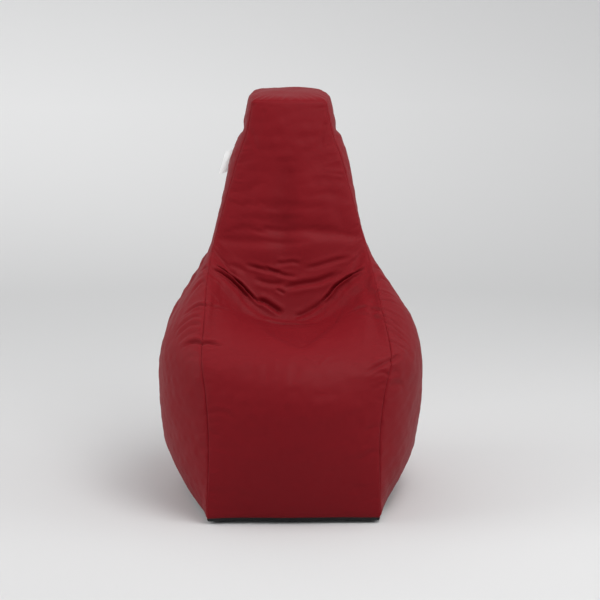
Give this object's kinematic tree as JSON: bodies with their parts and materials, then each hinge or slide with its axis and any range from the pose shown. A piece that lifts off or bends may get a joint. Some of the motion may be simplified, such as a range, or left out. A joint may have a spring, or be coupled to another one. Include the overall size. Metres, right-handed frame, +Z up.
{
  "type": "bean bag chair",
  "caption": "Tall pear-shaped bean bag chair: six-sided cloth cover with a hollowed seat, a high neck to lean on, a hexagonal base and cap, an inner bead bag and zips in the back hem.",
  "frame": {"origin": "on the floor under the middle of the chair's outer box", "axes": "+Z up; +Y towards the back, where the neck rises, so the seat faces -Y; +X to the right as seen from the front"},
  "size_m": [0.7394, 0.841, 1.1413],
  "materials": {
    "cover_cloth": "deep red woven nylon cloth with a slight satin sheen",
    "base_cloth": "black coated cloth, matte",
    "liner_cloth": "white spun-bonded cloth, matte",
    "beads": "white expanded polystyrene beads",
    "label_cloth": "pale grey woven label, blank",
    "zip_tape": "black woven tape",
    "zip_coil": "black nylon coil",
    "liner_zip_tape": "white woven tape",
    "liner_zip_coil": "white nylon coil",
    "zip_metal": "nickel-plated zinc"
  },
  "bodies": {
    "bag": {"back_left_panel": "cover_cloth", "back_panel": "cover_cloth", "back_right_panel": "cover_cloth", "base_panel": "base_cloth", "bead_filling": "beads", "front_left_panel": "cover_cloth", "front_panel": "cover_cloth", "front_right_panel": "cover_cloth", "liner_back_left_panel": "liner_cloth", "liner_back_panel": "liner_cloth", "liner_back_right_panel": "liner_cloth", "liner_base_panel": "liner_cloth", "liner_front_left_panel": "liner_cloth", "liner_front_panel": "liner_cloth", "liner_front_right_panel": "liner_cloth", "liner_top_cap": "liner_cloth", "liner_zip_bottom_stop": "liner_zip_coil", "liner_zip_coil_lower": "liner_zip_coil", "liner_zip_coil_upper": "liner_zip_coil", "liner_zip_end_tab_left": "liner_cloth", "liner_zip_end_tab_right": "liner_cloth", "liner_zip_tape_lower": "liner_zip_tape", "liner_zip_tape_upper": "liner_zip_tape", "liner_zip_top_stop_lower": "liner_zip_coil", "liner_zip_top_stop_upper": "liner_zip_coil", "side_label": "label_cloth", "top_cap": "cover_cloth", "zip_bottom_stop": "zip_coil", "zip_coil_lower": "zip_coil", "zip_coil_upper": "zip_coil", "zip_end_tab_left": "cover_cloth", "zip_end_tab_right": "cover_cloth", "zip_tape_lower": "zip_tape", "zip_tape_upper": "zip_tape", "zip_top_stop_lower": "zip_coil", "zip_top_stop_upper": "zip_coil"},
    "cover_slider": {"zip_slider": "zip_metal"},
    "puller": {"zip_puller": "zip_metal"},
    "liner_slider": {"liner_zip_slider": "zip_metal"}
  },
  "joints": [
    {"name": "zip_slide", "type": "slide", "parent": "bag", "child": "cover_slider", "axis": [-1, 0, 0], "range_m": [0, 0.381]},
    {"name": "puller_hinge", "type": "hinge", "parent": "cover_slider", "child": "puller", "pos_m": [0.1905, 0.3898, 0.0302], "axis": [0, 0, -1], "range_deg": [0, 180]},
    {"name": "liner_zip_slide", "type": "slide", "parent": "bag", "child": "liner_slider", "axis": [-1, 0, 0], "range_m": [0, 0.291]}
  ]
}
